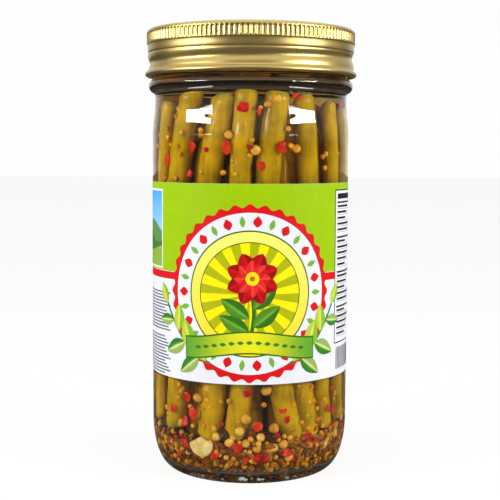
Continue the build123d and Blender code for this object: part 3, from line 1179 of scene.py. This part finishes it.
def spice_shapes(sizes, jar):
    """Each kind of spice as (shape, tones), packed from the largest to the smallest."""
    spices = Spices(sizes, jar)
    rng = spices.rng
    mustard = sizes.mustard / MM
    coriander = sizes.coriander / MM
    pepper = sizes.peppercorn / MM
    shapes = {}

    slabs = []
    for angle, height, width, tall in GARLIC:
        place = spices.by_hand([(angle, height)], width * 0.8, -2.6)
        turn = facing(rng, place, np.array([0.08]), 0.05)
        slabs.append(copies(garlic_slice(), place, turn, np.array([[width / 2, tall, 5.5]]), np.zeros(1)))
    shapes["garlic_slices"] = merged(slabs)

    places = spices.by_hand(FRONT_PEPPERCORNS, pepper, 0.3)
    shapes["peppercorns"] = grain(spices, peppercorn_ball(), places, pepper, 0.05)

    plates = []
    for angle, height, width, tall in FRONT_FLAKES:
        place = spices.by_hand([(angle, height)], 0.7, 0.25)
        turn = facing(rng, place, rng.normal(0, 0.15, 1), 0.08)
        scale = np.array([[width * 1.08, tall * 1.08, 4.0]])
        plates.append(copies(flake_plate(rng, 8), place, turn, scale, rng.uniform(-0.4, 0.9, 1)))
    hand_coriander = spices.by_hand(FRONT_CORIANDER, coriander, 0.2)
    hand_mustard = spices.by_hand(FRONT_MUSTARD, mustard, 0.2)
    bed_coriander = np.vstack([
        hand_coriander, spices.in_bed(sizes.coriander_count, coriander, 2.2),
        spices.on_bed(ON_BED["coriander"], coriander), spices.on_pods(ON_PODS["coriander"], coriander),
    ])
    shapes["coriander_seeds"] = grain(spices, coriander_ball(), bed_coriander, coriander, 0.07)
    for number, place_in in (
        (sizes.flake_count, lambda n: spices.in_bed(n, FLAKE_ROOM, 2.0, 0.5)),
        (ON_BED["flakes"], lambda n: spices.on_bed(n, FLAKE_ROOM, 0.5)),
        (ON_PODS["flakes"], lambda n: spices.on_pods(n, FLAKE_ROOM - 1.0)),
    ):
        for _ in range(FLAKE_OUTLINES):
            places = place_in(number // FLAKE_OUTLINES)
            count = len(places)
            turn = facing(rng, places, rng.uniform(0, TAU, count), 0.4)
            size = rng.uniform(2.0, 5.2, (count, 1)) * rng.uniform(0.75, 1.1, (count, 3))
            size[:, 2] = rng.uniform(2.5, 4.5, count)
            plates.append(copies(flake_plate(rng, 7), places, turn, size, rng.uniform(-1, 1, count)))
    shapes["pepper_flakes"] = merged(plates)

    bed_mustard = np.vstack([
        hand_mustard, spices.in_bed(sizes.mustard_count, mustard, 2.0),
        spices.on_bed(ON_BED["mustard"], mustard), spices.on_pods(ON_PODS["mustard"], mustard),
        spices.near(hand_mustard, mustard, MUSTARD_BEHIND, 3.0),
    ])
    shapes["mustard_seeds"] = grain(spices, closed_tube(sphere(5, 8)), bed_mustard, mustard, 0.1)

    bed_dill = np.vstack([
        spices.in_bed(sizes.dill_count, DILL_ROOM, 1.2, 0.45),
        spices.on_bed(ON_BED["dill"], DILL_ROOM, 0.45),
    ])
    count = len(bed_dill)
    length = rng.uniform(1.7, 2.5, (count, 1)) * np.array([[1.0, 1.0, 0.9]])
    flat = facing(rng, bed_dill, rng.uniform(0, TAU, count), 0.35)
    shapes["dill_seeds"] = copies(dill_seed(), bed_dill, flat, length, rng.uniform(-1, 1, count))

    bits = np.vstack([
        spices.in_bed(HERBS_IN_BED, HERB_ROOM, 0.5, 0.6), spices.on_bed(ON_BED["herbs"], HERB_ROOM, 0.5),
        spices.on_pods(ON_PODS["herbs"], HERB_ROOM - 0.1),
    ])
    count = len(bits)
    spread = rng.uniform(0.7, 1.6, (count, 1)) * np.ones((1, 3))
    shapes["herb_bits"] = copies(herb_curl(), bits, turned(rng, count), spread, rng.uniform(-1, 1, count))
    return shapes


# --- Materials ---------------------------------------------------------------

# What is sunk lies against brine rather than air, so it shines only a little, and a
# pod's waxy skin more than a seed's.
WET_IOR = 1.2
WAXY_IOR = 1.3


def glass_material():
    """Flint glass, moulded: clear, glossy, with a faint green-grey in its thick base."""
    material, tree, output = new_material("flint_glass")
    place = add(tree, "ShaderNodeTexCoord")
    stretched = add(tree, "ShaderNodeMapping", {"Scale": (1, 1, 0.35)}, {"Vector": (place, "Object")})
    drift = add(tree, "ShaderNodeTexNoise", {"Scale": 45, "Detail": 1.5}, {"Vector": (stretched, 0)})
    bump = add(
        tree, "ShaderNodeBump", {"Strength": 0.12, "Distance": 0.0006}, {"Height": (drift, "Fac")})
    glass = add(
        tree, "ShaderNodeBsdfGlass",
        {"Color": rgba(linear("#F7FAF6")), "Roughness": 0.0, "IOR": 1.5}, {"Normal": (bump, 0)},
    )
    clear_shader(tree, output, glass)
    body = add(tree, "ShaderNodeVolumeAbsorption", {"Color": rgba(linear("#A9C2A4")), "Density": 8})
    tree.links.new(body.outputs[0], output.inputs["Volume"])
    return material


def brine_material():
    """Brine: clear vinegar and salt water, tinted amber by the beans and spices."""
    material, tree, output = new_material("amber_brine")
    liquid = add(tree, "ShaderNodeBsdfGlass", {"Color": (1, 1, 1, 1), "Roughness": 0.0, "IOR": 1.34})
    clear_shader(tree, output, liquid)
    tint = add(tree, "ShaderNodeVolumeAbsorption", {"Color": rgba(linear("#DFC050")), "Density": 50})
    tree.links.new(tint.outputs[0], output.inputs["Volume"])
    return material


def cap_material(colours):
    """Gold-lacquered tinplate: a satin metal with a fine drawn grain round the cap."""
    material, tree, output = new_material("gold_lacquered_tinplate")
    place = add(tree, "ShaderNodeTexCoord")
    grain_way = add(tree, "ShaderNodeMapping", {"Scale": (1, 1, 30)}, {"Vector": (place, "Object")})
    fine = add(tree, "ShaderNodeTexNoise", {"Scale": 60, "Detail": 4}, {"Vector": (grain_way, 0)})
    smudge = add(tree, "ShaderNodeTexNoise", {"Scale": 55, "Detail": 3}, {"Vector": (place, "Object")})
    rough = add(
        tree, "ShaderNodeMapRange",
        {"From Min": 0.3, "From Max": 0.7, "To Min": 0.33, "To Max": 0.42}, {"Value": (smudge, "Fac")},
    )
    gold = np.array(colours.gold)
    tone = ramp(tree, ((0.3, gold * 0.93), (0.7, np.minimum(gold * 1.05, 1))), (smudge, "Fac"))
    bump = add(tree, "ShaderNodeBump", {"Strength": 0.04, "Distance": 0.00012}, {"Height": (fine, "Fac")})
    metal = add(
        tree, "ShaderNodeBsdfPrincipled", {"Metallic": 1.0, "Coat Weight": 0.4, "Coat Roughness": 0.3},
        {"Base Color": (tone, "Color"), "Roughness": (rough, 0), "Normal": (bump, 0)},
    )
    tree.links.new(metal.outputs[0], output.inputs["Surface"])
    return material


def paper_material(name, colour=None):
    """Coated label paper: smooth, hardly glossy, barely uneven; without a colour it shows the ink."""
    material, tree, output = new_material(name)
    place = add(tree, "ShaderNodeTexCoord")
    fibre = add(tree, "ShaderNodeTexNoise", {"Scale": 900, "Detail": 3}, {"Vector": (place, "Object")})
    bump = add(
        tree, "ShaderNodeBump", {"Strength": 0.12, "Distance": 0.00004}, {"Height": (fibre, "Fac")})
    mottle = add(tree, "ShaderNodeTexNoise", {"Scale": 260, "Detail": 2}, {"Vector": (place, "Object")})
    shade = ramp(tree, ((0.35, (0.955, 0.955, 0.955)), (0.65, (1, 1, 1))), (mottle, "Fac"))
    mixed = add(
        tree, "ShaderNodeMix", {"data_type": "RGBA", "blend_type": "MULTIPLY", 0: 1.0}, {7: (shade, 0)})
    if colour is None:
        ink = add(tree, "ShaderNodeVertexColor", {"layer_name": "ink"})
        tree.links.new(ink.outputs[0], mixed.inputs[6])
    else:
        mixed.inputs[6].default_value = rgba(colour)
    sheet = add(
        tree, "ShaderNodeBsdfPrincipled", {"Roughness": 0.5, "Specular IOR Level": 0.08},
        {"Base Color": (mixed, 2), "Normal": (bump, 0)},
    )
    tree.links.new(sheet.outputs[0], output.inputs["Surface"])
    return material


def pod_material(colours):
    """Pickled bean skin: waxy and wet, olive, streaked along the pod, specked, and pale where cut."""
    material, tree, output = new_material("pickled_bean_skin")
    place = add(tree, "ShaderNodeTexCoord")
    long_way = add(tree, "ShaderNodeMapping", {"Scale": (1, 1, 0.12)}, {"Vector": (place, "Object")})
    streak = add(tree, "ShaderNodeTexNoise", {"Scale": 620, "Detail": 3}, {"Vector": (long_way, 0)})
    blotch = add(tree, "ShaderNodeTexNoise", {"Scale": 130, "Detail": 4}, {"Vector": (place, "Object")})
    tone = add(tree, "ShaderNodeAttribute", {"attribute_name": "tone"})
    cut = add(tree, "ShaderNodeAttribute", {"attribute_name": "cut_end"})
    mixed = add(
        tree, "ShaderNodeMath", {"operation": "MULTIPLY_ADD", 1: 0.55},
        {0: (streak, "Fac"), 2: (blotch, "Fac")},
    )
    shifted = add(
        tree, "ShaderNodeMath", {"operation": "MULTIPLY_ADD", 1: 0.09}, {0: (tone, "Fac"), 2: (mixed, 0)})
    middle = np.array(colours.pod)
    pale = np.minimum(middle * (1.35, 1.3, 1.2), 1)
    skin = ramp(tree, ((0.5, colours.pod_dark), (0.74, middle), (0.98, pale)), (shifted, 0))
    flesh = add(
        tree, "ShaderNodeMix", {"data_type": "RGBA", 7: rgba(linear("#B7A955"))},
        {0: (cut, "Fac"), 6: (skin, 0)},
    )
    speck = add(tree, "ShaderNodeTexVoronoi", {"Scale": 260}, {"Vector": (place, "Object")})
    mark = add(
        tree, "ShaderNodeMapRange", {"From Min": 0.05, "From Max": 0.12, "To Min": 0.75, "To Max": 0.0},
        {"Value": (speck, "Distance")},
    )
    few = add(tree, "ShaderNodeMath", {"operation": "GREATER_THAN", 1: 0.9}, {0: (speck, "Color")})
    shown = add(tree, "ShaderNodeMath", {"operation": "MULTIPLY"}, {0: (mark, 0), 1: (few, 0)})
    marked = add(
        tree, "ShaderNodeMix", {"data_type": "RGBA", 7: rgba(linear("#3B2A08"))},
        {0: (shown, 0), 6: (flesh, 2)},
    )
    bump = add(tree, "ShaderNodeBump", {"Strength": 0.2, "Distance": 0.00025}, {"Height": (mixed, 0)})
    waxy = add(
        tree, "ShaderNodeBsdfPrincipled",
        {"Roughness": 0.12, "IOR": WAXY_IOR, "Subsurface Weight": 0.03, "Subsurface Scale": 0.0015,
         "Subsurface Radius": (1.0, 0.8, 0.2)},
        {"Base Color": (marked, 2), "Normal": (bump, 0)},
    )
    tree.links.new(waxy.outputs[0], output.inputs["Surface"])
    return material


def grain_material(name, dark, middle, pale, scale, roughness, bump_strength=0.3):
    """A seed, flake or crumb: dark to pale by its own tone and a mottle of its real size."""
    material, tree, output = new_material(name)
    place = add(tree, "ShaderNodeTexCoord")
    mottle = add(tree, "ShaderNodeTexNoise", {"Scale": scale, "Detail": 4}, {"Vector": (place, "Object")})
    tone = add(tree, "ShaderNodeAttribute", {"attribute_name": "tone"})
    shifted = add(
        tree, "ShaderNodeMath", {"operation": "MULTIPLY_ADD", 1: 0.2},
        {0: (tone, "Fac"), 2: (mottle, "Fac")},
    )
    colour = ramp(tree, ((0.25, linear(dark)), (0.5, linear(middle)), (0.75, linear(pale))), (shifted, 0))
    bump = add(
        tree, "ShaderNodeBump", {"Strength": bump_strength, "Distance": 0.0003}, {"Height": (mottle, "Fac")})
    shader = add(
        tree, "ShaderNodeBsdfPrincipled", {"Roughness": roughness, "IOR": WET_IOR},
        {"Base Color": (colour, "Color"), "Normal": (bump, 0)},
    )
    tree.links.new(shader.outputs[0], output.inputs["Surface"])
    return material


# Name of the piece, then its finish: dark, middle and pale colours, the mottle's
# scale in waves per metre, roughness and, for the bed, the strength of its bump.
GRAINS = {
    "mustard_seeds": ("mustard_seed_coat", "#A8640C", "#DE9418", "#F0AE38", 500, 0.3),
    "coriander_seeds": ("coriander_husk", "#A66814", "#DC9C30", "#F0BE60", 420, 0.45),
    "peppercorns": ("dried_pepper_berry", "#2A170A", "#54321C", "#7E5634", 900, 0.5),
    "pepper_flakes": ("dried_red_pepper", "#7C0A06", "#BE1509", "#D83A14", 420, 0.28),
    "dill_seeds": ("dill_seed_husk", "#402206", "#80480C", "#B4701C", 1100, 0.5),
    "herb_bits": ("dried_dill", "#33200A", "#6B4A12", "#B47A26", 1300, 0.55),
    "garlic_slices": ("pickled_garlic", "#C99C4E", "#E6C27C", "#F0D49A", 240, 0.3),
    "spice_bed": ("packed_spice_crumb", "#2E1604", "#75400C", "#A0640F", 620, 0.5, 0.8),
}


# The floor is as bright as the background to the eye and dark to what shines, so that
# glass and cap aren't washed out by it.
FLOOR_TO_EYE = 1.062
FLOOR_TO_GLOSS = 0.0
FLOOR_GLOW_SHARE = 0.84


def floor_material():
    """A matt white studio floor that reads as the background's white and keeps the object's shadow."""
    material, tree, output = new_material("matt_studio_floor")
    matt = add(tree, "ShaderNodeBsdfDiffuse", {"Color": rgba(linear("#F4F4F4"))})
    path = add(tree, "ShaderNodeLightPath")
    level = add(
        tree, "ShaderNodeMapRange", {"To Min": FLOOR_TO_EYE, "To Max": FLOOR_TO_GLOSS},
        {"Value": (path, "Is Glossy Ray")},
    )
    glow = add(tree, "ShaderNodeEmission", {"Color": rgba(linear("#FEFEFE"))}, {"Strength": (level, 0)})
    seen = seen_by_eye(tree)
    share = add(tree, "ShaderNodeMath", {"operation": "MULTIPLY", 1: FLOOR_GLOW_SHARE}, {0: (seen, 0)})
    mix = add(tree, "ShaderNodeMixShader", links={0: (share, 0), 1: (matt, 0), 2: (glow, 0)})
    tree.links.new(mix.outputs[0], output.inputs["Surface"])
    return material


def seen_by_eye(tree):
    """1 for rays from the camera, and for those that metal or glass sends on."""
    path = add(tree, "ShaderNodeLightPath")
    first = add(
        tree, "ShaderNodeMath", {"operation": "MAXIMUM"},
        {0: (path, "Is Camera Ray"), 1: (path, "Is Glossy Ray")},
    )
    return add(
        tree, "ShaderNodeMath", {"operation": "MAXIMUM"}, {0: (first, 0), 1: (path, "Is Transmission Ray")})


# --- Operators ---------------------------------------------------------------


class JAR_OT_glass(bpy.types.Operator):
    """Build the jar's glass"""

    bl_idname = "jar.glass"
    bl_label = "Glass jar"

    def execute(self, context):
        sizes = context.scene.jar_sizes
        outline = np.vstack([outer_outline(sizes), inner_outline(sizes, 0)])
        piece = write_mesh("jar_glass", revolved(outline, SEGMENTS), glass_material())
        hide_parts("glass_jar")
        return {"FINISHED"}


class JAR_OT_cap(bpy.types.Operator):
    """Build the screw cap with its knurl and its rolled thread"""

    bl_idname = "jar.cap"
    bl_label = "Screw cap"

    def execute(self, context):
        scene = context.scene
        piece = write_mesh(
            "screw_cap", cap_shape(scene.jar_sizes), cap_material(scene.jar_colours))
        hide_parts("lid")
        return {"FINISHED"}


class JAR_OT_label(bpy.types.Operator):
    """Build the paper label and its print"""

    bl_idname = "jar.label"
    bl_label = "Paper label"

    def execute(self, context):
        colours = context.scene.jar_colours
        paper = paper_material("coated_label_paper", colours.paper)
        sheet = write_mesh("paper_label", paper_shape(), paper, smooth=False)
        shape, ink = label_print(colours)
        write_mesh("label_print", shape, paper_material("printed_ink"), {"ink": ink})
        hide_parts("label")
        return {"FINISHED"}


class JAR_OT_brine(bpy.types.Operator):
    """Fill the jar with brine that reaches just into the glass"""

    bl_idname = "jar.brine"
    bl_label = "Brine"

    def execute(self, context):
        outline = inner_outline(context.scene.jar_sizes, -INTO_GLASS)
        below = outline[outline[:, 1] < BRINE_LEVEL]
        surface = line((0.5, BRINE_LEVEL), (BORE_R + INTO_GLASS, BRINE_LEVEL), 12)
        piece = write_mesh(
            "brine_fill", revolved(np.vstack([surface, below]), SEGMENTS), brine_material())
        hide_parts("brine")
        return {"FINISHED"}


class JAR_OT_pods(bpy.types.Operator):
    """Stand the bean pods in the jar"""

    bl_idname = "jar.pods"
    bl_label = "Bean pods"

    def execute(self, context):
        scene = context.scene
        shape, attributes = pods(scene.contents_sizes, scene.jar_sizes)
        write_mesh("bean_pods", shape, pod_material(scene.jar_colours), attributes)
        return {"FINISHED"}


class JAR_OT_spices(bpy.types.Operator):
    """Pack the spices round and under the pods"""

    bl_idname = "jar.spices"
    bl_label = "Spices"

    def execute(self, context):
        scene = context.scene
        sizes = scene.contents_sizes
        bed = bed_shape(sizes.bed_depth / MM, scene.jar_sizes)
        shapes = {"spice_bed": (bed, np.zeros(len(bed[0])))}
        shapes.update(spice_shapes(sizes, scene.jar_sizes))
        for name, (shape, tones) in shapes.items():
            write_mesh(name, shape, grain_material(*GRAINS[name]), {"tone": tones})
        return {"FINISHED"}


# Stage, in metres, watts and degrees.
FLOOR_HALF = 6.0
LAMP_DISTANCE = 1.0
LAMP_BEARING = 63
LAMP_RISE = 12.4
LAMP_SIZE = (0.6, 0.065)
LAMP_POWER = 8.5
CAMERA_PLACE = (0, -0.4726, 0.1315)
CAMERA_DOWN = 4.887
CAMERA_ROLL = 0.0046
CAMERA_LENS = 80.9

# Brightness of the room to soft light; and to gloss, of what is ahead of the jar low
# down and a little higher, of what is overhead, and of what is behind the jar.
SOFT_ROOM = 0.42
GLOSS_LOW = 0.07
GLOSS_AHEAD = 0.27
GLOSS_OVERHEAD = 1.3
GLOSS_BEHIND = 1.0


class JAR_OT_stage(bpy.types.Operator):
    """Set up the floor, the studio light and the camera"""

    bl_idname = "jar.stage"
    bl_label = "Stage"

    def execute(self, context):
        scene = context.scene
        corners = [(x * FLOOR_HALF, y * FLOOR_HALF, 0) for x, y in ((-1, -1), (1, -1), (1, 1), (-1, 1))]
        mesh = bpy.data.meshes.new("studio_floor")
        mesh.from_pydata(corners, [], [(0, 1, 2, 3)])
        mesh.materials.append(floor_material())
        floor = bpy.data.objects.new("studio_floor", mesh)
        scene.collection.objects.link(floor)
        self.lamps(scene)
        self.world(scene)
        self.camera(scene)
        scene.view_settings.view_transform = "Standard"
        return {"FINISHED"}

    def lamps(self, scene):
        """A wide, low softbox to the left and one to the right of the camera, a little above the jar."""
        middle = CAD_HIGH.z * 0.8
        rise = math.radians(LAMP_RISE)
        for name, bearing in (("softbox_left", -LAMP_BEARING), ("softbox_right", LAMP_BEARING)):
            data = bpy.data.lights.new(name, "AREA")
            data.shape = "RECTANGLE"
            data.size, data.size_y = LAMP_SIZE
            data.energy = LAMP_POWER
            lamp = bpy.data.objects.new(name, data)
            a = math.radians(bearing)
            height = middle + LAMP_DISTANCE * math.tan(rise)
            lamp.location = (LAMP_DISTANCE * math.sin(a), -LAMP_DISTANCE * math.cos(a), height)
            lamp.rotation_euler = (math.pi / 2 - rise, 0, a)
            scene.collection.objects.link(lamp)

    def world(self, scene):
        """White where the eye looks past the jar, a plain room for soft light, and a darker one for gloss.

        To gloss the room is dim ahead, brighter overhead and white behind the jar.
        """
        world = bpy.data.worlds.new("studio")
        world.use_nodes = True
        tree = world.node_tree
        tree.nodes.clear()
        output = add(tree, "ShaderNodeOutputWorld")
        way = add(tree, "ShaderNodeTexCoord")
        parts = add(tree, "ShaderNodeSeparateXYZ", links={"Vector": (way, "Generated")})
        path = add(tree, "ShaderNodeLightPath")
        ahead = add(
            tree, "ShaderNodeMapRange",
            {"From Min": 0.03, "From Max": 0.12, "To Min": GLOSS_LOW, "To Max": GLOSS_AHEAD},
            {"Value": (parts, "Z")},
        )
        above = add(
            tree, "ShaderNodeMapRange", {"From Min": 0.35, "From Max": 0.75, "To Max": GLOSS_OVERHEAD},
            {"Value": (parts, "Z"), "To Min": (ahead, 0)},
        )
        behind = add(
            tree, "ShaderNodeMapRange", {"From Min": 0.55, "From Max": 0.9, "To Max": GLOSS_BEHIND},
            {"Value": (parts, "Y"), "To Min": (above, 0)},
        )
        level = add(
            tree, "ShaderNodeMath", {"operation": "MAXIMUM"}, {0: (path, "Is Camera Ray"), 1: (behind, 0)})
        eye = seen_by_eye(tree)
        room = add(tree, "ShaderNodeBackground", {"Color": (1, 1, 1, 1), "Strength": SOFT_ROOM})
        white = add(
            tree, "ShaderNodeBackground", {"Color": rgba(linear("#FEFEFE"))}, {"Strength": (level, 0)})
        mix = add(tree, "ShaderNodeMixShader", links={0: (eye, 0), 1: (room, 0), 2: (white, 0)})
        tree.links.new(mix.outputs[0], output.inputs["Surface"])
        scene.world = world

    def camera(self, scene):
        """A long lens in front of the label, a little below the cap, looking slightly down."""
        data = bpy.data.cameras.new("camera")
        data.sensor_width = 36
        data.lens = CAMERA_LENS
        camera = bpy.data.objects.new("camera", data)
        camera.location = CAMERA_PLACE
        camera.rotation_mode = "XYZ"
        camera.rotation_euler = (math.radians(90 - CAMERA_DOWN), 0, 0)
        camera.rotation_euler.rotate_axis("Z", CAMERA_ROLL)
        scene.collection.objects.link(camera)
        scene.camera = camera


STEPS = (
    JAR_OT_glass, JAR_OT_cap, JAR_OT_label, JAR_OT_brine, JAR_OT_pods, JAR_OT_spices, JAR_OT_stage,
)


class JAR_PT_panel(bpy.types.Panel):
    """Lists the sizes, the colours and the steps in the sidebar"""

    bl_idname = "JAR_PT_panel"
    bl_label = "Pickle jar"
    bl_space_type = "VIEW_3D"
    bl_region_type = "UI"
    bl_category = "Pickle jar"

    def draw(self, context):
        for group in (context.scene.jar_sizes, context.scene.contents_sizes, context.scene.jar_colours):
            box = self.layout.box()
            for key in group.__annotations__:
                box.prop(group, key)
        for step in STEPS:
            self.layout.operator(step.bl_idname)


CLASSES = (JarSizes, ContentsSizes, Colours, *STEPS, JAR_PT_panel)


def register():
    """Registers the classes and hangs the properties on the scene."""
    for cls in CLASSES:
        bpy.utils.register_class(cls)
    bpy.types.Scene.jar_sizes = bpy.props.PointerProperty(type=JarSizes)
    bpy.types.Scene.contents_sizes = bpy.props.PointerProperty(type=ContentsSizes)
    bpy.types.Scene.jar_colours = bpy.props.PointerProperty(type=Colours)


def unregister():
    """Takes the properties and the classes away again."""
    for key in ("jar_sizes", "contents_sizes", "jar_colours"):
        delattr(bpy.types.Scene, key)
    for cls in reversed(CLASSES):
        bpy.utils.unregister_class(cls)


def main():
    """Builds every piece."""
    register()
    for step in STEPS:
        group, call = step.bl_idname.split(".")
        getattr(getattr(bpy.ops, group), call)()


if __name__ == "__main__":
    main()
